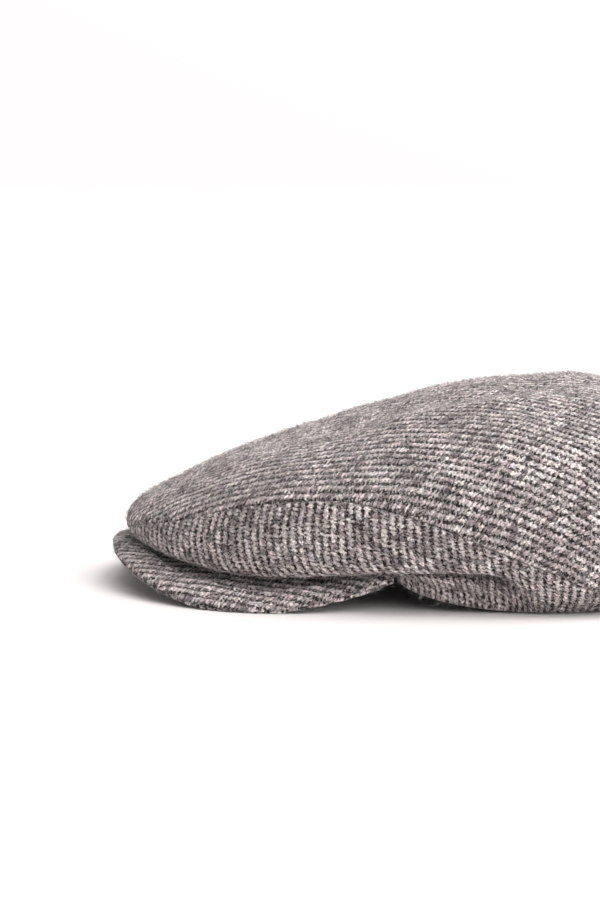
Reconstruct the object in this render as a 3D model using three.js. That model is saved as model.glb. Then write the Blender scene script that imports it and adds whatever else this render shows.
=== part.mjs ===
// Driving cap in heavy grey wool twill, lying flat on the back of its hem and the two sides of its peak.
// Millimetres. +Z is up, the peak points to -Y and the wearer's left is +X.
import * as THREE from "three";

// Cloth: one panel of tweed, the doubled cloth of the rolled hem, and the room left at each seam.
const CLOTH = 2.2;
const HEM_ROLL = 4;
const SEAM_GAP = 0.3;

// Ovals in plan: half width, where that width is, the reach from there to the front and to the back,
// how boxy the oval is, and how many degrees its points lie behind those of the bulge at the sides.
const BULGE = { half: 100, wideY: 45, front: 176.3, back: 92.7, round: 2.1, lag: 0 };
const HEAD = { half: 87, wideY: 25, front: 103.5, back: 95, round: 2.3, lag: 8 };
const CROWN_MIDDLE_Y = 20;
const SHOULDER = 2.5;

// Cross-sections of the crown, from the nose at station 0 past the widest place at 90 to the back at 180.
// crown: height of the middle line. bulge: height of the widest line. square: how boxy the arch between is.
// lip: height of the edge that droops over the peak. hem: height of the hem.
// seam: height of the side panel's seam.
const SECTIONS = [
  { station: 0, crown: 25.8, bulge: 25.8, square: 2, lip: 20.6, hem: 28.8, seam: 21.6 },
  { station: 15, crown: 34, bulge: 24.5, square: 2.1, lip: 19, hem: 27.4, seam: 27 },
  { station: 30, crown: 43, bulge: 22.5, square: 2.4, lip: 16, hem: 23.9, seam: 32.5 },
  { station: 45, crown: 55.5, bulge: 23.5, square: 2.7, lip: 12.8, hem: 19.6, seam: 41 },
  { station: 60, crown: 65.6, bulge: 26, square: 2.8, lip: 14.8, hem: 13, seam: 45.5 },
  { station: 67, crown: 72, bulge: 25, square: 2.8, lip: 16.5, hem: 7, seam: 43.3 },
  { station: 75, crown: 79, bulge: 24, square: 2.7, lip: 16.9, hem: 3.2, seam: 37 },
  { station: 84, crown: 84.6, bulge: 21, square: 2.6, lip: 16.9, hem: 0.6, seam: 25.5 },
  { station: 90, crown: 87, bulge: 16, square: 2.5, lip: 13, hem: 0, seam: 18 },
  { station: 105, crown: 87.2, bulge: 13, square: 2.4, lip: 8, hem: 0, seam: 5.5 },
  { station: 120, crown: 79.5, bulge: 13, square: 2.2, lip: 8, hem: 0, seam: 0 },
  { station: 140, crown: 62, bulge: 14, square: 2.1, lip: 8, hem: 0, seam: 0 },
  { station: 160, crown: 42, bulge: 15, square: 2, lip: 8, hem: 0, seam: 0 },
  { station: 180, crown: 16, bulge: 16, square: 2, lip: 8, hem: 0, seam: 0 },
];

// Soft dents in the top: place in plan, spread across and along, and depth. The sides differ a little.
const DENTS = [
  { x: 80, y: -12, across: 16, along: 24, depth: 4 },
  { x: 70, y: -75, across: 18, along: 20, depth: 1.6 },
  { x: 72, y: 62, across: 20, along: 16, depth: 1.8 },
  { x: -76, y: 5, across: 18, along: 30, depth: 2.4 },
  { x: -40, y: -84, across: 26, along: 18, depth: 1.4 },
  { x: -20, y: 100, across: 30, along: 14, depth: 2 },
];

// The fold under the lip: how far the lip sits in from the bulge, how far the cloth is tucked up behind it,
// and the stations between which the fold dies away.
const LIP_INSET = 6;
const TUCK_RISE = 3;
const FOLD_FADES = { from: 80, to: 88 };

// Side panels: the station where they run out into the hem, and the room left at the middle of the front
const SIDE_PANEL_END = 114;
const FRONT_SEAM = 0.09;

// Peak: underside height at the tip, how far its sides droop at that half width, and its rise to the back.
const PEAK = { tip: 14, droop: 25.5, droopHalf: 86, rise: 0.17, tipY: -137.5, thick: 3.8 };
// Plan of the peak's edge: a rounded front to the widest place, then a tail that runs in to the temple.
const PEAK_EDGE = { half: 88.5, wideY: -60, round: 2.05, tailY: -18.5, tailIn: 5.5, frontShare: 0.8 };
const PEAK_TEMPLE = 61;
const PEAK_HEM_END = 62;
const PEAK_UNDER_HEM = 1.2;

const rad = THREE.MathUtils.degToRad;
const mix = THREE.MathUtils.lerp;

// A column of the section table at any station, on smooth curves through its rows
function section(column, station) {
  const rows = SECTIONS;
  const last = rows.length - 1;
  const run = (a, b) => (rows[b][column] - rows[a][column]) / (rows[b].station - rows[a].station);
  const slope = (k) => {
    if (k > 0 && k < last) return run(k - 1, k + 1);
    if (column !== "crown") return 0;
    return k === 0 ? run(0, 1) : run(last - 1, last);
  };
  let k = 0;
  while (k < last - 1 && rows[k + 1].station < station) k += 1;
  const span = rows[k + 1].station - rows[k].station;
  const t = (station - rows[k].station) / span;
  const rise = t * t * (3 - 2 * t);
  const leave = t * (1 - t) * (1 - t) * span;
  const arrive = t * t * (t - 1) * span;
  return mix(rows[k][column], rows[k + 1][column], rise) + leave * slope(k) + arrive * slope(k + 1);
}

function ovalPoint(oval, station) {
  const turn = rad(station + oval.lag * Math.sin(rad(station)));
  const power = 2 / oval.round;
  const along = Math.cos(turn);
  const reach = along > 0 ? -oval.front : oval.back;
  const across = Math.sin(turn);
  const x = oval.half * Math.sign(across) * Math.abs(across) ** power;
  return new THREE.Vector2(x, oval.wideY + reach * Math.abs(along) ** power);
}

function peakUnderside(x, y) {
  return PEAK.tip - PEAK.droop * (x / PEAK.droopHalf) ** 2 + PEAK.rise * (y - PEAK.tipY);
}

// The peak's sewn edge, a little inside the outer face of the hem that covers it
function peakSeam(station) {
  const head = ovalPoint(HEAD, station);
  const inward = new THREE.Vector2(0, HEAD.wideY).sub(head).setLength(PEAK_UNDER_HEM);
  return head.add(inward);
}

function hemHeight(station) {
  const hem = Math.max(section("hem", station), 0);
  if (station > PEAK_HEM_END) return hem;
  const seam = peakSeam(station);
  return Math.max(hem, peakUnderside(seam.x, seam.y) + PEAK.thick + SEAM_GAP);
}

// Height of the crown's top above a place in plan, arched across from the middle line to the widest line
function domeHeight(x, y) {
  const ahead = BULGE.wideY - y;
  const reach = ahead > 0 ? BULGE.front : BULGE.back;
  const cosine = Math.sign(ahead) * Math.min(Math.abs(ahead) / reach, 1) ** (BULGE.round / 2);
  const station = THREE.MathUtils.radToDeg(Math.acos(cosine));
  const half = Math.max(ovalPoint(BULGE, station).x, 1e-6);
  const square = section("square", station);
  const across = Math.min(1, Math.abs(x) / half);
  const arch = (1 - across ** square) ** (1 / square);
  let height = mix(section("bulge", station), section("crown", station), arch);
  for (const dent of DENTS) {
    const away = ((x - dent.x) / dent.across) ** 2 + ((y - dent.y) / dent.along) ** 2;
    height -= dent.depth * arch * Math.exp(-away);
  }
  return height;
}

// Outer face of the crown. Level 0 is the hem, 1 the lip, 2 the bulge and 3 the middle of the top.
// Stations below 0 are the wearer's right side.
function crownPoint(station, level) {
  const at = Math.abs(station);
  const side = Math.sign(station) || 1;
  const bulge = ovalPoint(BULGE, at);
  if (level >= 2) {
    const out = 1 - (level - 2) ** 2;
    const x = side * bulge.x * out;
    const y = mix(CROWN_MIDDLE_Y, bulge.y, out);
    return new THREE.Vector3(x, y, domeHeight(x, y));
  }
  const head = ovalPoint(HEAD, at);
  const hem = hemHeight(at);
  const lip = section("lip", at);
  const wide = section("bulge", at);
  const lipIn = LIP_INSET / bulge.distanceTo(head);
  let inset;
  let height;
  if (level >= 1) {
    const turn = rad(90 * (level - 1));
    inset = lipIn * (1 - Math.sin(turn));
    height = mix(wide, lip, Math.cos(turn));
  } else {
    const top = Math.max(hem, lip);
    const tuck = new THREE.CubicBezierCurve(
      new THREE.Vector2(1, hem),
      new THREE.Vector2(1, top + TUCK_RISE),
      new THREE.Vector2(mix(lipIn, 1, 0.5), mix(lip, top, 0.45)),
      new THREE.Vector2(lipIn, lip),
    ).getPoint(level);
    inset = tuck.x;
    height = tuck.y;
  }
  const rise = level / 2;
  const unfolded = THREE.MathUtils.smoothstep(at, FOLD_FADES.from, FOLD_FADES.to);
  inset = mix(inset, 1 - Math.sin(rad(90 * rise)), unfolded);
  height = mix(height, mix(hem, wide, rise), unfolded);
  return new THREE.Vector3(side * mix(bulge.x, head.x, inset), mix(bulge.y, head.y, inset), height);
}

// Inner face of the crown, one thickness of cloth behind the outer face and doubled at the hem
function crownInside(station, level) {
  const step = 1e-3;
  const here = Math.min(level, 3 - 2 * step);
  const low = Math.max(here - step, 0);
  const along = crownPoint(station + 0.05, here).sub(crownPoint(station - 0.05, here));
  const up = crownPoint(station, here + step).sub(crownPoint(station, low));
  const normal = along.cross(up).normalize();
  const doubled = 1 - THREE.MathUtils.smoothstep(level, 0.1, 0.5);
  const point = crownPoint(station, level);
  const inside = point.clone().addScaledVector(normal, -mix(CLOTH, HEM_ROLL, doubled));
  if (level === 0) inside.z = point.z;
  if (level === 3) inside.set(point.x, point.y, point.z - CLOTH);
  return inside;
}

// Level at which the seam between the top and a side panel crosses a station
function seamLevel(station) {
  const height = section("seam", Math.abs(station));
  let low = Math.abs(station) < FOLD_FADES.to ? 1 : 0;
  let high = 3;
  for (let k = 0; k < 40; k += 1) {
    const middle = (low + high) / 2;
    if (crownPoint(station, middle).z < height) low = middle;
    else high = middle;
  }
  return low;
}

// A level moved up or down by a distance along the cloth
function levelShifted(station, level, distance) {
  const from = crownPoint(station, level);
  const way = Math.sign(distance);
  let near = 0;
  let far = 0.3;
  for (let k = 0; k < 30; k += 1) {
    const middle = (near + far) / 2;
    if (crownPoint(station, level + way * middle).distanceTo(from) < Math.abs(distance)) near = middle;
    else far = middle;
  }
  return level + way * near;
}

// Closed solid between an upper and a lower grid of points, each a list of columns
function solidBetween(outer, inner, ringed) {
  const positions = [];
  const index = [];
  const known = new Map();
  const vertex = (point) => {
    const key = point.toArray().map((value) => Math.round(value * 1000)).join();
    if (!known.has(key)) {
      known.set(key, known.size);
      positions.push(point.x, point.y, point.z);
    }
    return known.get(key);
  };
  const triangle = (a, b, c) => {
    if (a !== b && b !== c && c !== a) index.push(a, b, c);
  };
  const quad = (...corners) => {
    const crossed = corners[0].distanceTo(corners[2]) > corners[1].distanceTo(corners[3]) + 0.01;
    const [a, b, c, d] = (crossed ? [...corners.slice(1), corners[0]] : corners).map(vertex);
    triangle(a, b, c);
    triangle(a, c, d);
  };
  const columns = outer.length - 1;
  const rows = outer[0].length - 1;
  for (let c = 0; c < columns; c += 1) {
    for (let r = 0; r < rows; r += 1) {
      quad(outer[c][r], outer[c + 1][r], outer[c + 1][r + 1], outer[c][r + 1]);
      quad(inner[c][r], inner[c][r + 1], inner[c + 1][r + 1], inner[c + 1][r]);
    }
    quad(outer[c][0], inner[c][0], inner[c + 1][0], outer[c + 1][0]);
    quad(outer[c][rows], outer[c + 1][rows], inner[c + 1][rows], inner[c][rows]);
  }
  for (let r = 0; r < rows && !ringed; r += 1) {
    quad(outer[0][r], outer[0][r + 1], inner[0][r + 1], inner[0][r]);
    quad(outer[columns][r], inner[columns][r], inner[columns][r + 1], outer[columns][r + 1]);
  }
  const geometry = new THREE.BufferGeometry();
  geometry.setAttribute("position", new THREE.Float32BufferAttribute(positions, 3));
  geometry.setIndex(index);
  geometry.computeVertexNormals();
  return geometry;
}

function spaced(from, to, count) {
  return Array.from({ length: count + 1 }, (_, k) => mix(from, to, k / count));
}

// Levels up a station that lie the same distance apart along the cloth
function evenLevels(station, from, to, count) {
  const fine = spaced(from, to, 80);
  const points = fine.map((level) => crownPoint(station, level));
  const run = [0];
  for (let k = 1; k < points.length; k += 1) run.push(run[k - 1] + points[k].distanceTo(points[k - 1]));
  return spaced(0, run[run.length - 1], count).map((length) => {
    const k = Math.min(Math.max(run.findIndex((value) => value >= length), 1), fine.length - 1);
    return mix(fine[k - 1], fine[k], (length - run[k - 1]) / (run[k] - run[k - 1]));
  });
}

// Stations of the side panels' columns, closer together where the fold dies away
const SIDE_STATIONS = [
  FRONT_SEAM,
  ...spaced(0, PEAK_HEM_END, 14).slice(1),
  ...spaced(PEAK_HEM_END + 1, FOLD_FADES.from - 3, 3),
  ...spaced(FOLD_FADES.from, FOLD_FADES.to + 4, 4),
  ...spaced(FOLD_FADES.to + 9, SIDE_PANEL_END, 4),
];

const cap = new THREE.Group();
cap.name = "driving_cap";

function addPiece(name, geometry, color) {
  const material = new THREE.MeshStandardMaterial({ color, roughness: 0.95, metalness: 0 });
  material.name = `${name}_tweed`;
  const mesh = new THREE.Mesh(geometry, material);
  mesh.name = name;
  cap.add(mesh);
}

// Top panel: from the seam of the side panels, or from the hem behind them, up to the middle of the top
{
  const half = [0, ...SIDE_STATIONS, ...spaced(SIDE_PANEL_END + 1, 180, 12)];
  const stations = [...half.slice(1).reverse().map((station) => -station), ...half];
  const levels = stations.map((station) => {
    const open = Math.abs(station) > SIDE_PANEL_END;
    const start = open ? 0 : levelShifted(station, seamLevel(station), SEAM_GAP / 2);
    return [...evenLevels(station, start, SHOULDER, 9), ...spaced(SHOULDER, 3, 5).slice(1)];
  });
  const outer = stations.map((station, k) => levels[k].map((level) => crownPoint(station, level)));
  const inner = stations.map((station, k) => levels[k].map((level) => crownInside(station, level)));
  addPiece("top_panel", solidBetween(outer, inner, true), 0x8f8889);
}

// Side panels: from the hem, up behind the lip and over it to the seam with the top, meeting at the front
for (const [name, side] of [["side_panel_left", 1], ["side_panel_right", -1]]) {
  const stations = side > 0 ? SIDE_STATIONS : SIDE_STATIONS.map((station) => -station).reverse();
  const levels = stations.map((station) => {
    const end = levelShifted(station, seamLevel(station), -SEAM_GAP / 2);
    return spaced(0, end, 13);
  });
  const outer = stations.map((station, k) => levels[k].map((level) => crownPoint(station, level)));
  const inner = stations.map((station, k) => levels[k].map((level) => crownInside(station, level)));
  addPiece(name, solidBetween(outer, inner, false), 0x867f80);
}

// Plan of the peak's outer edge, from -1 at the right temple through 0 at the tip to 1 at the left temple
function peakEdge(share) {
  const q = Math.abs(share);
  const side = Math.sign(share) || 1;
  const power = 2 / PEAK_EDGE.round;
  if (q <= PEAK_EDGE.frontShare) {
    const turn = rad((90 * q) / PEAK_EDGE.frontShare);
    const x = PEAK_EDGE.half * Math.sin(turn) ** power;
    return new THREE.Vector2(side * x, mix(PEAK_EDGE.wideY, PEAK.tipY, Math.cos(turn) ** power));
  }
  const tail = (q - PEAK_EDGE.frontShare) / (1 - PEAK_EDGE.frontShare);
  const x = PEAK_EDGE.half - PEAK_EDGE.tailIn * tail * tail;
  return new THREE.Vector2(side * x, mix(PEAK_EDGE.wideY, PEAK_EDGE.tailY, tail));
}

// Points of the peak from its edge to its seam under the hem, at a height above or below its middle layer
function peakGrid(height) {
  const shares = spaced(-1, 1, 44);
  return shares.map((share) => {
    const edge = peakEdge(share);
    const rear = peakSeam(share * PEAK_TEMPLE);
    const width = edge.distanceTo(rear);
    const half = PEAK.thick / 2;
    const inset = [0, 0.15 * half, 0.5 * half, half, ...spaced(half, width, 6).slice(1)];
    return inset.map((d) => {
      const at = edge.clone().lerp(rear, d / width);
      const round = half * Math.sqrt(1 - (1 - Math.min(d / half, 1)) ** 2);
      const z = peakUnderside(at.x, at.y) + half + height(Math.max(round, 0.5));
      return new THREE.Vector3(at.x, at.y, Math.max(z, 0));
    });
  });
}

// Peak: an upper and an under cover, sewn together round the edge and rounded over there
addPiece(
  "peak_upper_cover",
  solidBetween(peakGrid((round) => round), peakGrid(() => SEAM_GAP / 2), false),
  0x7f797b,
);
addPiece(
  "peak_under_cover",
  solidBetween(peakGrid(() => -SEAM_GAP / 2), peakGrid((round) => -round), false),
  0x6f696b,
);

export default cap;
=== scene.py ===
import bpy
import numpy as np
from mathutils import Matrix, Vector


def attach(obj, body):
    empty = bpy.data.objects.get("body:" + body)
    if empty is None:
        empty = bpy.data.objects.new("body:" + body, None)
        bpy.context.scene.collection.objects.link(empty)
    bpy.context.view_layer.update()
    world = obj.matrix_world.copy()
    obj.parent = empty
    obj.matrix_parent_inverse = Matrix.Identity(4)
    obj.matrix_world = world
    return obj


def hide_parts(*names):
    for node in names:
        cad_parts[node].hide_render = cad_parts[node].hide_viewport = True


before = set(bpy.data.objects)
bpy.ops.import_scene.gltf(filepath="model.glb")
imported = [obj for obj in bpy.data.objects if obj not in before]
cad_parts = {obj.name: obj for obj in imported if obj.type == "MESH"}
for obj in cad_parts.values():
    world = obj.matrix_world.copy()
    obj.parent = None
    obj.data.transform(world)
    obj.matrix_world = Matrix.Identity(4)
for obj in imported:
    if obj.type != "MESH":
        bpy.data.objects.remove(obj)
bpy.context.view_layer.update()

# Top panel
# One broad piece of heavy grey wool twill, eased over the crown. A long low seam joins it to the side
# panels, and behind them its own edge is rolled under as the back of the hem.
MM = 0.001
CLOTH = 2.2
HEM_ROLL = 4.0
SEAM_GAP = 0.3
WARP_YARN = 1.5
WEFT_YARN = 1.05
RIB_HEIGHT = 0.6
STITCH_LINE = 6.0
STITCH_WIDTH = 1.3
STITCH_DEPTH = 0.6
BULGE = {"half": 100, "wide_y": 45, "front": 176.3, "back": 92.7, "round": 2.1, "lag": 0}
HEAD = {"half": 87, "wide_y": 25, "front": 103.5, "back": 95, "round": 2.3, "lag": 8}
CROWN_MIDDLE_Y = 20
LIP_INSET = 6
LIP_SQUARE = 3.0
TUCK_RISE = 3
FOLD_RISE = 6
BAND_SWELL = {"out": 6.5, "level": 0.23, "spread": 0.12}
FOLD_STARTS = (56, 66)
FOLD_FADES = (80, 88)
SIDE_PANEL_END = 114
PEAK = {"tip": 14, "droop": 25.5, "droop_half": 86, "rise": 0.17, "tip_y": -137.5, "thick": 3.8}
PEAK_HEM_END = 62
PEAK_UNDER_HEM = 1.2

# Cross-sections of the crown, from the nose at station 0 past the widest place at 90 to the back at 180
SECTIONS = np.array(
    [
        (0, 25.8, 25.8, 2.0, 20.6, 28.8, 21.6),
        (15, 34.0, 24.5, 2.1, 19.0, 27.4, 27.0),
        (30, 43.0, 22.5, 2.4, 16.0, 23.9, 32.5),
        (45, 55.5, 23.5, 2.7, 12.8, 19.6, 41.0),
        (60, 65.6, 26.0, 2.8, 14.8, 13.0, 45.5),
        (67, 72.0, 25.0, 2.8, 16.5, 7.0, 43.3),
        (75, 79.0, 24.0, 2.7, 16.9, 3.2, 37.0),
        (84, 84.6, 21.0, 2.6, 16.9, 0.6, 25.5),
        (90, 87.0, 16.0, 2.5, 13.0, 0.0, 18.0),
        (105, 87.2, 13.0, 2.4, 8.0, 0.0, 5.5),
        (120, 79.5, 13.0, 2.2, 8.0, 0.0, 0.0),
        (140, 62.0, 14.0, 2.1, 8.0, 0.0, 0.0),
        (160, 42.0, 15.0, 2.0, 8.0, 0.0, 0.0),
        (180, 16.0, 16.0, 2.0, 8.0, 0.0, 0.0),
    ],
    dtype=[(n, float) for n in ("station", "crown", "bulge", "square", "lip", "hem", "seam")],
)
# Soft dents in the top: place in plan, spread across and along, and depth. The last is a long soft ridge.
DENTS = np.array(
    [
        (80, -12, 16, 24, 4.0),
        (70, -75, 18, 20, 1.6),
        (72, 62, 20, 16, 1.8),
        (-76, 5, 18, 30, 2.4),
        (-40, -84, 26, 18, 1.4),
        (-20, 100, 30, 14, 2.0),
        (25, 22, 14, 42, 2.4),
        (48, 15, 9, 42, -1.4),
    ],
    dtype=[(n, float) for n in ("x", "y", "across", "along", "depth")],
)


def mix(a, b, t):
    return a + (b - a) * t


def smooth(value, low, high):
    t = np.clip((value - low) / (high - low), 0, 1)
    return t * t * (3 - 2 * t)


# A column of the section table at any station, on smooth curves through its rows
def section(column, station):
    at = SECTIONS["station"]
    value = SECTIONS[column]
    slope = np.zeros(len(at))
    slope[1:-1] = (value[2:] - value[:-2]) / (at[2:] - at[:-2])
    if column == "crown":
        slope[0] = (value[1] - value[0]) / (at[1] - at[0])
        slope[-1] = (value[-1] - value[-2]) / (at[-1] - at[-2])
    k = np.clip(np.searchsorted(at, station) - 1, 0, len(at) - 2)
    span = at[k + 1] - at[k]
    t = (station - at[k]) / span
    leave = t * (1 - t) ** 2 * span
    arrive = t * t * (t - 1) * span
    return mix(value[k], value[k + 1], t * t * (3 - 2 * t)) + leave * slope[k] + arrive * slope[k + 1]


def oval(plan, station):
    turn = np.radians(station + plan["lag"] * np.sin(np.radians(station)))
    along, across = np.cos(turn), np.sin(turn)
    reach = np.where(along > 0, -plan["front"], plan["back"])
    power = 2 / plan["round"]
    x = plan["half"] * np.sign(across) * np.abs(across) ** power
    return x, plan["wide_y"] + reach * np.abs(along) ** power


def peak_underside(x, y):
    droop = PEAK["droop"] * (x / PEAK["droop_half"]) ** 2
    return PEAK["tip"] - droop + PEAK["rise"] * (y - PEAK["tip_y"])


# The peak's sewn edge, a little inside the outer face of the hem that covers it
def peak_seam(station):
    x, y = oval(HEAD, station)
    share = PEAK_UNDER_HEM / np.hypot(x, HEAD["wide_y"] - y)
    return x - x * share, mix(y, HEAD["wide_y"], share)


def hem_height(station):
    hem = np.maximum(section("hem", station), 0)
    on_peak = peak_underside(*peak_seam(station)) + PEAK["thick"] + SEAM_GAP
    return np.where(station > PEAK_HEM_END, hem, np.maximum(hem, on_peak))


# Half width, squareness and heights of the crown's cross-section at a place along it
def cross_section(y):
    ahead = BULGE["wide_y"] - y
    reach = np.where(ahead > 0, BULGE["front"], BULGE["back"])
    cosine = np.sign(ahead) * np.minimum(np.abs(ahead) / reach, 1) ** (BULGE["round"] / 2)
    station = np.degrees(np.arccos(cosine))
    half = np.maximum(oval(BULGE, station)[0], 1e-6)
    return half, section("square", station), section("bulge", station), section("crown", station)


# Height of the crown's top above a place in plan
def dome_height(x, y):
    half, square, bulge, crown = cross_section(y)
    arch = (1 - np.minimum(1, np.abs(x) / half) ** square) ** (1 / square)
    height = mix(bulge, crown, arch)
    for dent in DENTS:
        away = ((x - dent["x"]) / dent["across"]) ** 2 + ((y - dent["y"]) / dent["along"]) ** 2
        height = height - dent["depth"] * arch * np.exp(-away)
    return height


# Outer face of the crown. Level 0 is the hem, 1 the lip, 2 the bulge and 3 the middle of the top.
# Stations below 0 are the wearer's right side.
def crown_point(station, level):
    station, level = np.broadcast_arrays(np.asarray(station, float), np.asarray(level, float))
    at = np.abs(station)
    side = np.where(station < 0, -1, 1)
    wide_x, wide_y = oval(BULGE, at)
    head_x, head_y = oval(HEAD, at)
    out = 1 - np.clip(level - 2, 0, 1) ** 2
    dome_x = side * wide_x * out
    dome_y = mix(CROWN_MIDDLE_Y, wide_y, out)

    hem, lip, wide = hem_height(at), section("lip", at), section("bulge", at)
    lip_in = LIP_INSET / np.hypot(wide_x - head_x, wide_y - head_y)
    turn = np.radians(90 * (np.clip(level, 1, 2) - 1))
    beside, below = np.sin(turn) ** (2 / LIP_SQUARE), np.cos(turn) ** (2 / LIP_SQUARE)
    top = np.maximum(hem, lip)
    t = np.clip(level, 0, 1)
    first, second, third, last = (1 - t) ** 3, 3 * t * (1 - t) ** 2, 3 * t * t * (1 - t), t**3
    folded = smooth(at, *FOLD_STARTS)
    deep = TUCK_RISE + FOLD_RISE * folded
    tuck_in = first + second + third * mix(lip_in, 1, 0.5) + last * lip_in
    tuck_up = first * hem + second * (top + deep) + third * mix(lip, top, 0.45) + last * lip
    inset = np.where(level < 1, tuck_in, lip_in * (1 - beside))
    height = np.where(level < 1, tuck_up, mix(wide, lip, below))
    rise = np.clip(level / 2, 0, 1)
    unfolded = smooth(at, *FOLD_FADES)
    inset = mix(inset, 1 - np.sin(np.radians(90 * rise)), unfolded)
    height = mix(height, mix(hem, wide, rise), unfolded)

    over = np.stack([dome_x, dome_y, dome_height(dome_x, dome_y)], -1)
    swell = BAND_SWELL["out"] * np.exp(-(((t - BAND_SWELL["level"]) / BAND_SWELL["spread"]) ** 2))
    swell = swell * folded * (1 - unfolded)
    under_x = mix(wide_x, head_x, inset) + swell * np.sin(np.radians(at))
    under_y = mix(wide_y, head_y, inset) - swell * np.cos(np.radians(at))
    under = np.stack([side * under_x, under_y, height], -1)
    return np.where((level >= 2)[..., None], over, under)


# Level at which the seam between the top and a side panel crosses each station, moved along the cloth
def seam_level(station, shift):
    height = section("seam", np.abs(station))
    low = np.where(np.abs(station) < FOLD_FADES[1], 1.0, 0.0)
    high = np.full_like(low, 3.0)
    for _ in range(40):
        middle = (low + high) / 2
        below = crown_point(station, middle)[..., 2] < height
        low, high = np.where(below, middle, low), np.where(below, high, middle)
    seam = crown_point(station, low)
    near, far = np.zeros_like(low), np.full_like(low, 0.3)
    for _ in range(30):
        middle = (near + far) / 2
        moved = crown_point(station, low + np.sign(shift) * middle)
        close = np.linalg.norm(moved - seam, axis=-1) < abs(shift)
        near, far = np.where(close, middle, near), np.where(close, far, middle)
    return low + np.sign(shift) * near


# Levels at given distances along the cloth, a row of them for each station
def levels_along(station, start, end, distances):
    share = np.linspace(0, 1, 500)
    fine = mix(start[:, None], end[:, None], share)
    step = np.linalg.norm(np.diff(crown_point(station[:, None], fine), axis=1), axis=-1)
    run = np.concatenate([np.zeros((len(station), 1)), np.cumsum(step, axis=1)], axis=1)
    rows = distances(run[:, -1:])
    return np.stack([np.interp(d, r, f) for d, r, f in zip(rows, run, fine)]), rows


# Smooth random waves from -1 to 1 over a flat pattern, with a given cell size
WAVE_CELLS = 97
MIDDLE_CELL = 40


def waves(flat, cell, seed):
    table = np.random.default_rng(seed).uniform(-1, 1, (WAVE_CELLS, WAVE_CELLS))
    place = flat / cell + MIDDLE_CELL
    corner = np.floor(place).astype(int)
    t = place - corner
    t = t * t * (3 - 2 * t)
    i, j = corner[..., 0] % WAVE_CELLS, corner[..., 1] % WAVE_CELLS
    next_i, next_j = (i + 1) % WAVE_CELLS, (j + 1) % WAVE_CELLS
    near = mix(table[i, j], table[next_i, j], t[..., 0])
    far = mix(table[i, next_j], table[next_i, next_j], t[..., 0])
    return mix(near, far, t[..., 1])


# Turns flat places, across and up as seen from outside, to places across and along the warp yarns. The yarns
# wander slowly and shake a little: cell sizes across and along, and reach.
YARN_STRAYS = [
    {"cells": (21, 17), "reach": 0.6, "seeds": (3, 4)},
    {"cells": (4.3, 3.7), "reach": 0.3, "seeds": (5, 6)},
]


def on_warp(flat, warp_degrees):
    turn = np.radians(warp_degrees)
    across, up = flat[..., 0], flat[..., 1]
    along = across * np.cos(turn) + up * np.sin(turn)
    crossing = across * np.sin(turn) - up * np.cos(turn)
    places = np.stack([crossing, along], -1)
    strayed = places
    for stray in YARN_STRAYS:
        off = [waves(places, cell, seed) for cell, seed in zip(stray["cells"], stray["seeds"])]
        strayed = strayed + stray["reach"] * np.stack(off, -1)
    return strayed


# Eases a flat pattern until lengths along its grid and its diagonals agree with those over the cloth
GRID_SPANS = ((1, 0), (0, 1), (1, 1), (1, -1))
OVER_EASE = 1.6


def eased(flat, grid, rounds):
    flat = flat.copy()
    for _ in range(rounds):
        pull = np.zeros(flat.shape)
        count = np.zeros(flat.shape[:2] + (1,))
        for down, right in GRID_SPANS:
            here = (slice(0, -down or None), slice(max(-right, 0), -right if right > 0 else None))
            there = (slice(down, None), slice(max(right, 0), right if right < 0 else None))
            away = flat[there] - flat[here]
            length = np.maximum(np.linalg.norm(away, axis=-1, keepdims=True), 1e-9)
            true = np.linalg.norm(grid[there] - grid[here], axis=-1, keepdims=True)
            move = away * (1 - true / length) / 2
            pull[here] += move
            pull[there] -= move
            count[here] += 1
            count[there] += 1
        flat += OVER_EASE * pull / count
    return flat


# Spreads a coarse grid of places over a finer one
def finer(coarse, count):
    for _ in range(2):
        place = np.linspace(0, len(coarse) - 1, count)
        k = np.minimum(place.astype(int), len(coarse) - 2)
        coarse = mix(coarse[k], coarse[k + 1], (place - k)[:, None, None]).swapaxes(0, 1)
    return coarse


def grid_normals(grid):
    across = np.gradient(grid, axis=0)
    along = np.gradient(grid, axis=1)
    normal = np.cross(across, along)
    return normal / np.maximum(np.linalg.norm(normal, axis=-1, keepdims=True), 1e-12)


# Rolls the edge of a piece of cloth in, presses a line of stitching above the hem, gives the cloth soft
# waves and slubs, and raises the ribs of its twill, which are uneven and lie flatter along the edges
WAVE_HEIGHT, WAVE_CELL = 0.8, 31
RIPPLE_HEIGHT, RIPPLE_CELL = 0.4, 13
SLUB_HEIGHT, SLUB_CELL = 0.22, 2.6
RIB_CHANGE, RIB_CELL = 0.4, 4.7
CALM_EDGE = (1, 12)
FLAT_EDGE = (0, 3)


def dress(grid, normal, edge, roll, hem, weave):
    rolled = roll * (1 - np.sqrt(1 - (1 - np.clip(edge / roll, 0, 1)) ** 2))
    pressed = STITCH_DEPTH * np.exp(-(((hem - STITCH_LINE) / STITCH_WIDTH) ** 2))
    swell = WAVE_HEIGHT * waves(weave, WAVE_CELL, 7) + RIPPLE_HEIGHT * waves(weave, RIPPLE_CELL, 8)
    swell = smooth(edge, *CALM_EDGE) * swell
    count = weave[..., 1] / WEFT_YARN - weave[..., 0] / WARP_YARN - 0.5
    uneven = 1 - RIB_CHANGE + RIB_CHANGE * waves(weave, RIB_CELL, 10)
    firm = mix(0.5, 1, smooth(edge, *FLAT_EDGE)) * uneven
    rib = RIB_HEIGHT / 2 * np.cos(np.pi / 2 * count) * firm
    slub = SLUB_HEIGHT * waves(weave, SLUB_CELL, 9)
    return grid + normal * (swell + rib + slub - rolled - pressed)[..., None]


# Closed cloth from a fine grid for its face and every sixth point of a grid for its back
BACK_STEP = 6


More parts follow.
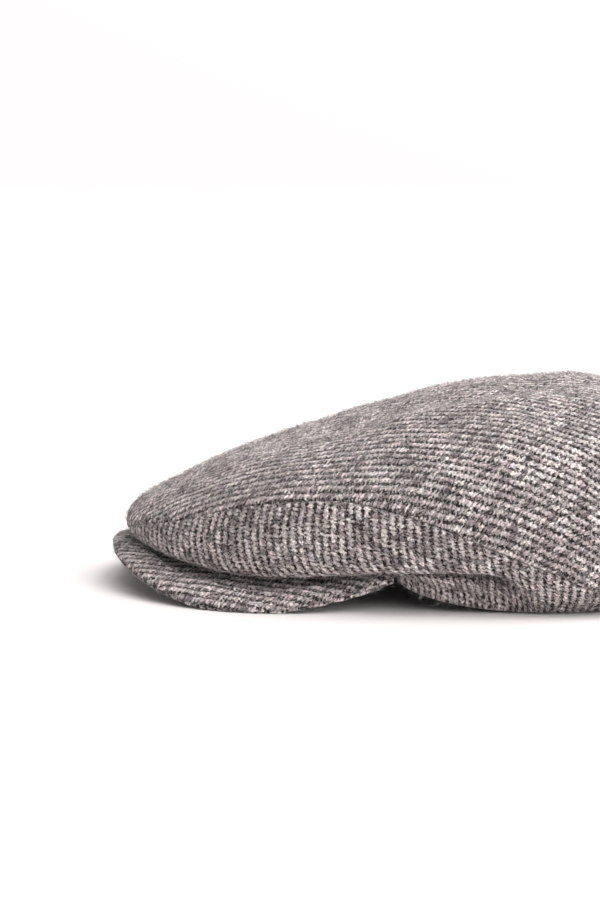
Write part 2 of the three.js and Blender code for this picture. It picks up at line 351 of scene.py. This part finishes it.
def cloth(name, face, back, weave):
    rows, columns = face.shape[:2]
    back = back[::BACK_STEP, ::BACK_STEP]
    fine = np.arange(rows * columns).reshape(rows, columns)
    coarse = rows * columns + np.arange(back.shape[0] * back.shape[1]).reshape(back.shape[:2])

    def quads(index):
        return np.stack([index[:-1, :-1], index[1:, :-1], index[1:, 1:], index[:-1, 1:]], -1).reshape(-1, 4)

    def rim(index):
        return np.concatenate([index[:-1, 0], index[-1, :-1], index[:0:-1, -1], index[0, :0:-1]])

    outer, inner = rim(fine), rim(coarse)
    triangles = []
    for k in range(len(outer)):
        here = inner[((k + BACK_STEP // 2) // BACK_STEP) % len(inner)]
        triangles.append((outer[k], here, outer[(k + 1) % len(outer)]))
        if k % BACK_STEP == BACK_STEP // 2 - 1:
            following = inner[(k // BACK_STEP + 1) % len(inner)]
            triangles.append((outer[(k + 1) % len(outer)], inner[k // BACK_STEP], following))
    outward = grid_normals(face)[::BACK_STEP, ::BACK_STEP]
    inside_out = np.sum(outward * (face[::BACK_STEP, ::BACK_STEP] - back)) < 0
    faces = [*quads(fine).tolist(), *quads(coarse)[:, ::-1].tolist(), *triangles]
    if inside_out:
        faces = [corners[::-1] for corners in faces]
    points = np.concatenate([face.reshape(-1, 3), back.reshape(-1, 3)])
    mesh = bpy.data.meshes.new(name)
    mesh.from_pydata(points * MM, [], faces)
    places = np.concatenate([weave.reshape(-1, 2), weave[::BACK_STEP, ::BACK_STEP].reshape(-1, 2)])
    corner_of = np.zeros(len(mesh.loops), np.int32)
    mesh.loops.foreach_get("vertex_index", corner_of)
    uv = mesh.uv_layers.new(name="weave")
    uv.data.foreach_set("uv", places[corner_of].astype(np.float32).ravel())
    mesh.polygons.foreach_set("use_smooth", np.ones(len(mesh.polygons), bool))
    mesh.update()
    piece = bpy.data.objects.new(name, mesh)
    bpy.context.scene.collection.objects.link(piece)
    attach(piece, "root")
    return piece


TOP_HALF_GRID = 147
EDGE_ROWS = np.array([0, 0.3, 0.8, 1.4, 2.1, 3.0])
SEAM_ROLL = 1.3
HEM_ROUND = 1.6
HEM_LEVELS = (0.1, 0.5)
NO_HEM = 99.0
BACK_HEM_START = SIDE_PANEL_END + 0.5
SEAM_SHIFT = SEAM_GAP / 10
HALF_STATIONS = 720

stations = np.linspace(-180, 180, 2 * HALF_STATIONS + 1)
starts = np.where(np.abs(stations) > BACK_HEM_START, 0, seam_level(stations, SEAM_SHIFT))
left_stations, left_starts = stations[HALF_STATIONS:], starts[HALF_STATIONS:]


def top_rows(length):
    inner = np.linspace(0, 1, TOP_HALF_GRID - len(EDGE_ROWS) + 2)[1:]
    edge = np.broadcast_to(EDGE_ROWS, (len(length), len(EDGE_ROWS)))
    return np.concatenate([edge, mix(EDGE_ROWS[-1], length, inner)], axis=1)


top_levels, top_edges = levels_along(stations, starts, np.full(len(stations), 3.0), top_rows)
left_rim = crown_point(left_stations, left_starts)
rim_run = np.concatenate([[0], np.cumsum(np.linalg.norm(np.diff(left_rim, axis=0), axis=-1))])

# Square grid whose rings are the rings of the crown, so that no points crowd together at the middle
i, j = np.mgrid[-TOP_HALF_GRID : TOP_HALF_GRID + 1, -TOP_HALF_GRID : TOP_HALF_GRID + 1]
ring = np.maximum(np.abs(i), np.abs(j))
with np.errstate(all="ignore"):
    quarters = [np.abs(j) <= i, j >= np.abs(i), -j >= np.abs(i)]
    turn = np.select(quarters, [j / i, 2 - i / j, -2 - i / j], np.where(j < 0, -4, 4) + j / i)
turn = np.nan_to_num(turn)
station = np.sign(turn) * np.interp(np.abs(turn) / 4, rim_run / rim_run[-1], left_stations)
level = np.zeros(ring.shape)
edge = np.zeros(ring.shape)
for k in range(TOP_HALF_GRID + 1):
    level[ring == k] = np.interp(station[ring == k], stations, top_levels[:, TOP_HALF_GRID - k])
    edge[ring == k] = np.interp(station[ring == k], stations, top_edges[:, TOP_HALF_GRID - k])
top_grid = crown_point(station, level)

# Flat pattern of the top. Its ends are eased flat from lengths outward from the middle of the crown, and
# between them the crown is a vault, laid flat by the lengths over each cross-section from the ridge.
TOP_WARP = 121
VAULT_ROWS = 300
VAULT_STEPS = 200
VAULT_ENDS = {"front": (-115, -75), "back": (75, 115)}
EASE_STEP = 6

outward = top_grid[..., :2] - (0, CROWN_MIDDLE_Y)
outward = outward / np.maximum(np.linalg.norm(outward, axis=-1, keepdims=True), 1e-9)
from_middle = np.interp(station, stations, top_edges[:, -1]) - edge
ends_flat = (outward * from_middle[..., None])[::EASE_STEP, ::EASE_STEP]
ends_flat = finer(eased(ends_flat, top_grid[::EASE_STEP, ::EASE_STEP], 800), len(top_grid))

vault_y = np.linspace(BULGE["wide_y"] - BULGE["front"], BULGE["wide_y"] + BULGE["back"], VAULT_ROWS)
half, square, bulge, crown = (part[:, None] for part in cross_section(vault_y))
lean = np.radians(np.linspace(90, 0, VAULT_STEPS))
vault_x = half * np.cos(lean) ** (2 / square)
vault_z = mix(bulge, crown, np.sin(lean) ** (2 / square))
vault_run = np.cumsum(np.hypot(np.diff(vault_x, axis=1), np.diff(vault_z, axis=1)), axis=1)
vault_run = np.pad(vault_run, ((0, 0), (1, 0)))
ridge_run = np.pad(np.cumsum(np.hypot(np.diff(vault_y), np.diff(crown[:, 0]))), (1, 0))
ridge_run = ridge_run - np.interp(CROWN_MIDDLE_Y, vault_y, ridge_run)

over = crown_point(station, np.maximum(level, 2))
half, square, bulge, crown = cross_section(over[..., 1])
lift = np.clip((over[..., 2] - bulge) / np.maximum(crown - bulge, 1e-6), 0, 1)
lean = np.arctan2(lift ** (square / 2), np.minimum(np.abs(over[..., 0]) / half, 1) ** (square / 2))
row = np.clip((over[..., 1] - vault_y[0]) / (vault_y[1] - vault_y[0]), 0, VAULT_ROWS - 1.001)
step = (1 - lean / np.radians(90)) * (VAULT_STEPS - 1.001)
i, j = row.astype(int), step.astype(int)
near = mix(vault_run[i, j], vault_run[i, j + 1], step - j)
far = mix(vault_run[i + 1, j], vault_run[i + 1, j + 1], step - j)
flat_x = np.sign(over[..., 0]) * mix(near, far, row - i)
vault_flat = np.stack([flat_x, np.interp(over[..., 1], vault_y, ridge_run)], -1)
turned_under = np.linalg.norm(top_grid - over, axis=-1)[..., None]
vault_flat += turned_under * np.stack([np.sin(np.radians(station)), -np.cos(np.radians(station))], -1)
top_y = top_grid[..., 1]
vaulted = smooth(top_y, *VAULT_ENDS["front"]) * (1 - smooth(top_y, *VAULT_ENDS["back"]))
top_flat = eased(mix(ends_flat, vault_flat, vaulted[..., None]), top_grid, 60)
top_weave = on_warp(top_flat, TOP_WARP)
top_normal = grid_normals(top_grid)
if top_normal[TOP_HALF_GRID, TOP_HALF_GRID, 2] < 0:
    top_normal = -top_normal
at_hem = np.abs(station) > BACK_HEM_START
top_roll = np.where(at_hem, HEM_ROUND, SEAM_ROLL)
top_face = dress(top_grid, top_normal, edge, top_roll, np.where(at_hem, edge, NO_HEM), top_weave)
doubled = np.where(at_hem, 1 - smooth(level, *HEM_LEVELS), 0)
top_back = top_grid - top_normal * mix(CLOTH, HEM_ROLL, doubled)[..., None]


# Lets the lowest cloth down on to the surface it lies on
LET_DOWN = (2, 14)


def settle(face, back):
    lift = face[..., 2].min()
    for grid in (face, back):
        grid[..., 2] = np.maximum(grid[..., 2] - lift * (1 - smooth(grid[..., 2], *LET_DOWN)), 0)


settle(top_face, top_back)
top_panel = cloth("top_panel_cloth", top_face, top_back, top_weave)


# sRGB hex to linear colour
def colour(code):
    part = np.array([int(code[k : k + 2], 16) for k in (1, 3, 5)]) / 255
    linear = np.where(part <= 0.04045, part / 12.92, ((part + 0.055) / 1.055) ** 2.4)
    return (*linear, 1.0)


# Adds a node with its settings, sets or links its inputs, and places the colours of a ramp
def add_node(tree, kind, settings, inputs, stops=()):
    made = tree.nodes.new("ShaderNode" + kind)
    for key, value in settings.items():
        setattr(made, key, value)
    for key, value in inputs.items():
        if isinstance(value, bpy.types.Node):
            value = value.outputs[0]
        if isinstance(value, bpy.types.NodeSocket):
            tree.links.new(value, made.inputs[key])
        else:
            made.inputs[key].default_value = value
    for _ in stops[2:]:
        made.color_ramp.elements.new(0.5)
    for k, (place, code) in enumerate(stops):
        made.color_ramp.elements[k].position = place
        made.color_ramp.elements[k].color = colour(code)
    return made


# Woollen twill: two yarns over and two under, a pale mixed warp on a dark weft, milled so that it is hairy.
# The eye sees pale slanting floats side by side in raised ribs, dark broken furrows between the ribs, and no
# gloss. The furrows are dark from the weft and from painted shade. Single hairs are drawn about four times
# too coarse, as they would vanish at this distance. The weave map is in millimetres, so that each noise scale
# is in cells to the millimetre.
EASED_RANGE = {"interpolation_type": "SMOOTHSTEP"}


def woollen_twill(name, shade):
    material = bpy.data.materials.new(name)
    material.use_nodes = True
    tree = material.node_tree
    tree.nodes.clear()
    flat = {"noise_dimensions": "2D"}
    plus, minus, times = {"operation": "ADD"}, {"operation": "SUBTRACT"}, {"operation": "MULTIPLY"}
    times_plus, whole, wrap = {"operation": "MULTIPLY_ADD"}, {"operation": "FLOOR"}, {"operation": "WRAP"}

    # Yarns, each a little out of place, and how far each place lies from the middle of its yarn and float
    place = add_node(tree, "UVMap", {"uv_map": "weave"}, {})
    shake = add_node(tree, "TexNoise", flat, {"Vector": place, "Scale": 0.8, "Detail": 3.0, "Roughness": 0.6})
    shaken = add_node(tree, "VectorMath", times_plus, {0: shake.outputs["Color"], 1: (2.0, 2.0, 0), 2: place})
    yarns = add_node(tree, "VectorMath", times, {0: shaken, 1: (1 / WARP_YARN, 1 / WEFT_YARN, 0)})
    cell = add_node(tree, "VectorMath", whole, {0: yarns})
    inside = add_node(tree, "VectorMath", minus, {0: yarns, 1: cell})
    across = add_node(tree, "VectorMath", minus, {0: inside, 1: (0.5, 0.5, 0)})
    parts = add_node(tree, "SeparateXYZ", {}, {0: yarns})
    turned = add_node(tree, "CombineXYZ", {}, {0: parts.outputs[1], 1: parts.outputs[0]})
    behind = add_node(tree, "VectorMath", minus, {0: turned, 1: cell})
    along = add_node(tree, "VectorMath", plus, {0: behind, 1: (-1, 2, 0)})
    from_middle = add_node(tree, "VectorMath", wrap, {0: along, 1: (2, 2, 2), 2: (-2, -2, -2)})

    # Rounded crowns of the two yarns, the higher of which shows unless hairs from the warp hide the weft
    thick = add_node(tree, "VectorMath", times, {0: across, 1: across})
    long = add_node(tree, "VectorMath", times, {0: from_middle, 1: from_middle})
    fall = add_node(tree, "VectorMath", times_plus, {0: thick, 1: (-1.4, -1.4, 0), 2: (1, 1, 0)})
    crowns = add_node(tree, "VectorMath", times_plus, {0: long, 1: (-0.34, -1.8, 0), 2: fall})
    heights = add_node(tree, "SeparateXYZ", {}, {0: crowns})
    pair = {0: heights.outputs[0], 1: heights.outputs[1]}
    top = add_node(tree, "Math", {"operation": "MAXIMUM"}, pair)
    lead = add_node(tree, "Math", minus, pair)
    gaps = add_node(tree, "TexNoise", flat, {"Vector": place, "Scale": 0.55, "Detail": 3.0, "Roughness": 0.7})
    broken = add_node(tree, "Math", times_plus, {0: gaps, 1: 8.0, 2: lead})
    warp_shows = add_node(tree, "MapRange", EASED_RANGE, {0: broken, 1: 3.05, 2: 4.15})

    # Colour of each float from its own dye and from hairs that lie along it
    float_end = add_node(tree, "VectorMath", plus, {0: along, 1: (2, 2, 0)})
    float_count = add_node(tree, "VectorMath", {"operation": "SCALE"}, {0: float_end, "Scale": 1 / 4})
    float_number = add_node(tree, "VectorMath", whole, {0: float_count})
    cells = add_node(tree, "SeparateXYZ", {}, {0: cell})
    numbers = add_node(tree, "SeparateXYZ", {}, {0: float_number})
    yarn_colours, strokes = [], []
    for k, hair_scale, stops in ((0, (1.8, 0.5, 1), shade["warp"]), (1, (0.5, 1.8, 1), shade["weft"])):
        which = {0: cells.outputs[k], 1: numbers.outputs[k], 2: 7.0 * k}
        number = add_node(tree, "CombineXYZ", {}, which)
        draw = add_node(tree, "TexWhiteNoise", {"noise_dimensions": "3D"}, {"Vector": number})
        drawn_out = add_node(tree, "Mapping", {}, {"Vector": place, "Scale": hair_scale})
        fine = {"Vector": drawn_out, "Scale": 1.0, "Detail": 4.0, "Roughness": 0.7}
        hairs = add_node(tree, "TexNoise", flat, fine)
        mixed = add_node(tree, "Mix", {}, {"Factor": 0.6, 2: draw, 3: hairs})
        yarn_colours.append(add_node(tree, "ValToRGB", {}, {"Fac": mixed}, stops))
        strokes.append(hairs)
    colours = {"Factor": warp_shows, 6: yarn_colours[1], 7: yarn_colours[0]}
    woven = add_node(tree, "Mix", {"data_type": "RGBA"}, colours)

    # Painted shade in the furrows where the cloth lies low, random speckle, uneven milling and slow changes
    # of dye
    furrow_shade_height = add_node(tree, "Math", times_plus, {0: strokes[0], 1: 1.6, 2: top})
    painted_furrow_shade = add_node(tree, "MapRange", EASED_RANGE, {0: furrow_shade_height, 1: 0.92, 2: 1.6, 3: 0.05, 4: 0.98})
    knots = {"Vector": place, "Scale": 0.95, "Detail": 3.0, "Roughness": 0.65}
    speckle = add_node(tree, "TexNoise", flat, knots)
    speckled = add_node(tree, "MapRange", EASED_RANGE, {0: speckle, 1: 0.3, 2: 0.7, 3: 0.5, 4: 1.44})
    milling = {"Vector": place, "Scale": 0.06, "Detail": 3.0, "Roughness": 0.6}
    patch = add_node(tree, "TexNoise", flat, milling)
    patchy = add_node(tree, "MapRange", EASED_RANGE, {0: patch, 1: 0.32, 2: 0.68, 3: 0.78, 4: 1.22})
    # The painted furrow shade, times the random speckle and the random patches, scales the yarn colour
    furrow_shade_and_speckle = add_node(tree, "Math", times, {0: painted_furrow_shade, 1: speckled})
    depth = add_node(tree, "Math", times, {0: furrow_shade_and_speckle, 1: patchy})
    dyes = add_node(tree, "TexNoise", flat, {"Vector": place, "Scale": 0.22, "Detail": 2.0, "Roughness": 0.6})
    dye_range = {0: dyes.outputs["Color"], 1: (0.2, 0.14, 0.2), 2: (0.915, 0.92, 0.885)}
    dyed = add_node(tree, "VectorMath", times_plus, dye_range)
    coloured = add_node(tree, "VectorMath", times, {0: woven.outputs[2], 1: dyed})
    shaded = add_node(tree, "VectorMath", {"operation": "SCALE"}, {0: coloured, "Scale": depth})

    raised = add_node(tree, "Math", times_plus, {0: speckle, 1: 1.6, 2: top})
    relief = add_node(tree, "Bump", {}, {"Strength": 0.8, "Distance": 0.42 * MM, "Height": raised})
    look = {"Base Color": shaded, "Roughness": 0.95, "IOR": 1.54, "Specular IOR Level": 0.15}
    look.update({"Normal": relief, "Sheen Weight": 0.08, "Sheen Roughness": 0.6})
    wool = add_node(tree, "BsdfPrincipled", {}, look)
    add_node(tree, "OutputMaterial", {}, {"Surface": wool})
    return material


GREY_TWEED = {
    "warp": [(0.25, "#5c5456"), (0.42, "#aba2a3"), (0.55, "#cac2c1"), (0.72, "#dcd5d3")],
    "weft": [(0.2, "#1a1412"), (0.5, "#332927"), (0.8, "#6e6360")],
}
top_panel.data.materials.append(woollen_twill("grey_wool_twill_top", GREY_TWEED))
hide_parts("top_panel")


# Loose wool fibres: pale, grey and dark hairs that stand off the cloth and soften its outline
def wool_fibre(name, code):
    material = bpy.data.materials.new(name)
    material.use_nodes = True
    tree = material.node_tree
    tree.nodes.clear()
    look = {"Base Color": colour(code), "Roughness": 0.7, "IOR": 1.54, "Specular IOR Level": 0.3}
    hair = add_node(tree, "BsdfPrincipled", {}, look)
    add_node(tree, "OutputMaterial", {}, {"Surface": hair})
    return material


FIBRES = [
    wool_fibre("pale_wool_fibre", "#d8d0ce"),
    wool_fibre("grey_wool_fibre", "#a0989a"),
    wool_fibre("dark_wool_fibre", "#4a4345"),
]
FIBRE_SHARES = (0.42, 0.34, 0.24)
FIBRE_RADIUS = 0.06
FIBRE_ROOT = 0.1
FIBRE_CURL = 0.6
FIBRE_BEND = 2.2
FIBRE_TAPER = 0.6


# Two sides and the area of each patch of a grid
def patches(grid):
    down = grid[1:, :-1] - grid[:-1, :-1]
    right = grid[:-1, 1:] - grid[:-1, :-1]
    return down, right, np.linalg.norm(np.cross(down, right), axis=-1)


# Curved tapering hairs rooted all over a piece of cloth, each a closed strand of three sides
def nap(name, grid, normal, count, length, rise, seed):
    draw = np.random.default_rng(seed)
    down, right, area = patches(grid)
    area = area.ravel()
    row, column = np.divmod(draw.choice(area.size, count, p=area / area.sum()), grid.shape[1] - 1)
    part = draw.random((2, count, 1))
    root = grid[row, column] + part[0] * down[row, column] + part[1] * right[row, column]
    up = normal[row, column]
    lean = np.cross(up, draw.normal(size=(count, 3)))
    lean = lean / np.linalg.norm(lean, axis=-1, keepdims=True)
    sideways = np.cross(up, lean)
    long = draw.uniform(*length, (count, 1))
    high = draw.uniform(*rise, (count, 1))
    curl = draw.uniform(-FIBRE_CURL, FIBRE_CURL, (count, 1))
    points = []
    for step in (0, 0.5, 1):
        middle = root + long * step * (lean + curl * step * sideways)
        middle = middle + up * (high * np.sin(FIBRE_BEND * step) - FIBRE_ROOT)
        around = (0,) if step == 1 else (0, 120, 240)
        for turn in np.radians(around):
            thick = 0 if step == 1 else FIBRE_RADIUS * (1 - FIBRE_TAPER * step)
            points.append(middle + thick * (np.cos(turn) * up + np.sin(turn) * sideways))
    points = np.stack(points, 1)
    points[..., 2] = np.maximum(points[..., 2], 0)
    strand = [(2, 1, 0)]
    strand += [(k, (k + 1) % 3, 3 + (k + 1) % 3, 3 + k) for k in range(3)]
    strand += [(3 + k, 3 + (k + 1) % 3, 6) for k in range(3)]
    faces = [tuple(7 * n + k for k in corners) for n in range(count) for corners in strand]
    mesh = bpy.data.meshes.new(name)
    mesh.from_pydata(points.reshape(-1, 3) * MM, [], faces)
    for fibre in FIBRES:
        mesh.materials.append(fibre)
    kind = draw.choice(len(FIBRES), count, p=FIBRE_SHARES)
    mesh.polygons.foreach_set("material_index", np.repeat(kind, len(strand)).astype(np.int32))
    mesh.polygons.foreach_set("use_smooth", np.ones(len(mesh.polygons), bool))
    mesh.update()
    hairs = bpy.data.objects.new(name, mesh)
    bpy.context.scene.collection.objects.link(hairs)
    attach(hairs, "root")
    return hairs


NAP = {"length": (1.2, 3.6), "rise": (0.3, 1.9)}
top_naps = [
    nap(f"top_panel_nap_{part}", top_face, top_normal, 16000, **NAP, seed=20 + k)
    for k, part in enumerate(("a", "b"))
]

# Side panels
# Two tapering pieces of the same twill, cut on the slant so that their ribs stand upright. They are sewn
# together at the front, tucked back under a soft lip over the peak, and turned up at the hem.
SIDE_COLUMNS = 300
SIDE_ROWS = 96
FRONT_SEAM = 0.09
SIDE_WARP = 150
LONG_HAIRS = {"length": (3, 9), "rise": (1, 3)}


def side_rows(length):
    edge = EDGE_ROWS * np.minimum(1, length / (2.5 * EDGE_ROWS[-1]))
    inner = np.linspace(0, 1, SIDE_ROWS + 3 - 2 * len(EDGE_ROWS))[1:-1]
    between = mix(edge[:, -1:], length - edge[:, -1:], inner)
    return np.concatenate([edge, between, (length - edge)[:, ::-1]], axis=1)


line = np.linspace(FRONT_SEAM, SIDE_PANEL_END, 2000)
line_run = np.concatenate([[0], np.cumsum(np.linalg.norm(np.diff(crown_point(line, 2.0), axis=0), axis=-1))])
front_rows = EDGE_ROWS[:-1]
column_run = np.linspace(EDGE_ROWS[-1], line_run[-1], SIDE_COLUMNS + 1 - len(front_rows))
column_run = np.concatenate([front_rows, column_run])
side_station = np.interp(column_run, line_run, line)

for name, side in (("left", 1), ("right", -1)):
    at = side * side_station
    from_hem = np.zeros(len(at))
    side_levels, hem_run = levels_along(at, from_hem, seam_level(at, -SEAM_SHIFT), side_rows)
    side_grid = crown_point(at[:, None], side_levels)
    bulge_run = levels_along(at, from_hem, np.full(len(at), 2.0), lambda length: length)[1]
    flat_x = np.broadcast_to((side * column_run)[:, None], hem_run.shape)
    side_flat = eased(np.stack([flat_x, hem_run - bulge_run], -1), side_grid, 150)
    side_weave = on_warp(side_flat, SIDE_WARP)
    side_normal = side * grid_normals(side_grid)
    seam_run = hem_run[:, -1:] - hem_run
    front_run = np.broadcast_to(column_run[:, None], hem_run.shape)
    edge = np.minimum(np.minimum(hem_run, seam_run), front_run)
    roll = np.where(hem_run < np.minimum(seam_run, front_run), HEM_ROUND, SEAM_ROLL)
    side_face = dress(side_grid, side_normal, edge, roll, hem_run, side_weave)
    doubled = 1 - smooth(side_levels, *HEM_LEVELS)
    side_back = side_grid - side_normal * mix(CLOTH, HEM_ROLL, doubled)[..., None]
    settle(side_face, side_back)
    side_panel = cloth(f"side_panel_{name}_cloth", side_face, side_back, side_weave)
    side_panel.data.materials.append(woollen_twill(f"grey_wool_twill_side_{name}", GREY_TWEED))
    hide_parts(f"side_panel_{name}")
    seed = 30 + side
    hem_strip = side_face[:, :8]
    side_naps = [
        nap(f"side_panel_{name}_nap", side_face, side_normal, 7000, **NAP, seed=seed),
        nap(f"side_panel_{name}_hem_hairs", hem_strip, side_normal, 60, **LONG_HAIRS, seed=seed + 3),
    ]

# Peak
# A short stiff peak covered in the same twill, one cover above and one below, sewn together round the edge
# and turned. Its back edge is held under the hem of the side panels.
PEAK_EDGE = {"half": 88.5, "wide_y": -60, "round": 2.05, "tail_y": -18.5, "tail_in": 5.5, "front_share": 0.8}
PEAK_TEMPLE = 61
PEAK_COLUMNS = 300
PEAK_ROWS = 72
PEAK_WARP = 117
CREASE_DIP = {"depth": 3.2, "starts": (12, 16), "end": 8}
PEAK_NAP = {"length": (1.2, 3.4), "rise": (0.3, 1.8)}

share = np.linspace(-1, 1, 2001)
reach = np.abs(share)
front = np.minimum(reach / PEAK_EDGE["front_share"], 1)
tail = np.maximum(reach - PEAK_EDGE["front_share"], 0) / (1 - PEAK_EDGE["front_share"])
power = 2 / PEAK_EDGE["round"]
half_width = PEAK_EDGE["half"] * np.sin(np.radians(90 * front)) ** power
edge_x = np.sign(share) * (half_width - PEAK_EDGE["tail_in"] * tail**2)
bend = np.cos(np.radians(90 * front)) ** power
front_y = mix(PEAK_EDGE["wide_y"], PEAK["tip_y"], bend)
edge_y = np.where(tail > 0, mix(PEAK_EDGE["wide_y"], PEAK_EDGE["tail_y"], tail), front_y)
edge_run = np.concatenate([[0], np.cumsum(np.hypot(np.diff(edge_x), np.diff(edge_y)))])
even = np.interp(np.linspace(0, edge_run[-1], PEAK_COLUMNS + 1), edge_run, share)
edge_x, edge_y = np.interp(even, share, edge_x), np.interp(even, share, edge_y)
seam_x, seam_y = peak_seam(np.abs(even) * PEAK_TEMPLE)
seam_x = np.sign(even) * seam_x
width = np.hypot(edge_x - seam_x, edge_y - seam_y)[:, None]
half_thick = PEAK["thick"] / 2
edge_rows = half_thick * np.array([0, 0.06, 0.2, 0.4, 0.65, 1.0])
edge_rows = np.broadcast_to(edge_rows, (len(width), len(edge_rows)))
inner_rows = mix(half_thick, width, np.linspace(0, 1, PEAK_ROWS - 4)[1:])
inset = np.concatenate([edge_rows, inner_rows], axis=1)
peak_x = mix(edge_x[:, None], seam_x[:, None], inset / width)
peak_y = mix(edge_y[:, None], seam_y[:, None], inset / width)
dip = CREASE_DIP["depth"] * smooth(inset, *CREASE_DIP["starts"])
dip = dip * (1 - smooth(inset, width - CREASE_DIP["end"], width))
middle = peak_underside(peak_x, peak_y) + half_thick - dip
rounded = half_thick * np.sqrt(1 - (1 - np.minimum(inset / half_thick, 1)) ** 2)
slope = 2 * PEAK["droop"] / PEAK["droop_half"] ** 2
peak_across = peak_x / 2 * np.sqrt(1 + (slope * peak_x) ** 2) + np.arcsinh(slope * peak_x) / (2 * slope)

for name, up, slot in (("upper", 1, "peak_tweed"), ("under", -1, "peak_under_tweed")):
    peak_grid = np.stack([peak_x, peak_y, np.maximum(middle + up * np.maximum(rounded, 0.2), 0)], -1)
    peak_flat = eased(np.stack([up * peak_across, peak_y], -1), peak_grid, 100)
    peak_weave = on_warp(peak_flat, PEAK_WARP)
    peak_normal = grid_normals(peak_grid)
    peak_normal = np.where(np.sum(peak_normal[..., 2]) * up < 0, -peak_normal, peak_normal)
    calm = np.minimum(inset, width - inset)
    no_roll, no_hem = np.full(calm.shape, 0.5), np.full(calm.shape, NO_HEM)
    peak_face = dress(peak_grid, peak_normal, np.maximum(calm, 1.0), no_roll, no_hem, peak_weave)
    peak_face[..., 2] = np.maximum(peak_face[..., 2], 0)
    peak_back = np.stack([peak_x, peak_y, np.maximum(middle + up * SEAM_GAP / 2, 0)], -1)
    peak_cover = cloth(f"peak_{name}_cover_cloth", peak_face, peak_back, peak_weave)
    peak_cover.data.materials.append(woollen_twill(f"grey_wool_twill_peak_{name}", GREY_TWEED))
    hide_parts(f"peak_{name}_cover")
    peak_nap = nap(f"peak_{name}_cover_nap", peak_face, peak_normal, 4800, **PEAK_NAP, seed=40 + up)

# Studio
# A matt pale floor, a bright sheet behind, low light from the right and a little from the camera's side, two
# broad soft lights high up and one on the right. The camera stands low on the wearer's left.
FLOOR_HALF = 20.0
floor_mesh = bpy.data.meshes.new("pale_floor")
corners = [(FLOOR_HALF * x, FLOOR_HALF * y, 0) for x, y in ((-1, -1), (1, -1), (1, 1), (-1, 1))]
floor_mesh.from_pydata(corners, [], [(0, 1, 2, 3)])
floor = bpy.data.objects.new("pale_floor", floor_mesh)
bpy.context.scene.collection.objects.link(floor)

# Matt pale paper: an even, unglazed sheet, whose tone drifts a very little every 4 or 5 cm
paper = bpy.data.materials.new("matt_pale_paper")
paper.use_nodes = True
paper_tree = paper.node_tree
paper_tree.nodes.clear()
paper_drift = add_node(paper_tree, "TexNoise", {}, {"Scale": 900.0, "Detail": 2.0})
paper_stops = [(0.0, "#e6e3e2"), (1.0, "#eae7e6")]
paper_tone = add_node(paper_tree, "ValToRGB", {}, {"Fac": paper_drift}, paper_stops)
paper_look = {"Base Color": paper_tone, "Roughness": 0.9, "Specular IOR Level": 0.1}
paper_shader = add_node(paper_tree, "BsdfPrincipled", {}, paper_look)
add_node(paper_tree, "OutputMaterial", {}, {"Surface": paper_shader})
floor_mesh.materials.append(paper)

# Soft light from all round: which way it comes from, how near that way it starts and is full, its strength,
# and whether it stays low over the floor
AIR = [
    {"way": (-1, 0, 0), "starts": -0.5, "full": 0.6, "strength": 1.0, "low": True},
    {"way": (0, 1, 0), "starts": 0.2, "full": 0.85, "strength": 1.2, "low": True},
    {"way": (1, 0, 0), "starts": 0.0, "full": 0.8, "strength": 0.25, "low": True},
    {"way": (-0.5, 0.3, 0.81), "starts": 0.5, "full": 0.95, "strength": 1.6, "low": False},
    {"way": (0.5, 0.4, 0.77), "starts": 0.5, "full": 0.95, "strength": 1.65, "low": False},
    {"way": (0.1, 0.82, 0.56), "starts": 0.6, "full": 0.92, "strength": 1.6, "low": False},
]
world = bpy.data.worlds.new("studio_air")
bpy.context.scene.world = world
world.use_nodes = True
air = world.node_tree
air.nodes.clear()
way = add_node(air, "TexCoord", {}, {}).outputs["Generated"]
height = add_node(air, "SeparateXYZ", {}, {0: way}).outputs[2]
low_down = add_node(air, "MapRange", EASED_RANGE, {0: height, 1: 0.12, 2: 0.75, 3: 1.0, 4: 0.0})
air_light = 0.0
for source in AIR:
    toward = Vector(source["way"]).normalized()
    near = add_node(air, "VectorMath", {"operation": "DOT_PRODUCT"}, {0: way, 1: toward}).outputs["Value"]
    fades = {0: near, 1: source["starts"], 2: source["full"], 3: 0.0, 4: source["strength"]}
    light = add_node(air, "MapRange", EASED_RANGE, fades)
    if source["low"]:
        light = add_node(air, "Math", {"operation": "MULTIPLY"}, {0: light, 1: low_down})
    air_light = add_node(air, "Math", {"operation": "ADD"}, {0: light, 1: air_light})
air_shader = add_node(air, "Background", {}, {"Color": colour("#fffdfd"), "Strength": air_light})
add_node(air, "OutputWorld", {}, {"Surface": air_shader})

TARGET = Vector((0.0, -0.0562, 0.0553))
camera = bpy.data.cameras.new("camera")
camera.lens = 92
camera.sensor_width = 36
camera_object = bpy.data.objects.new("camera", camera)
camera_object.location = (0.99255, -0.0562, 0.17717)
camera_object.rotation_euler = (TARGET - camera_object.location).to_track_quat("-Z", "Y").to_euler()
bpy.context.scene.collection.objects.link(camera_object)
bpy.context.scene.camera = camera_object
bpy.context.scene.view_settings.view_transform = "Standard"
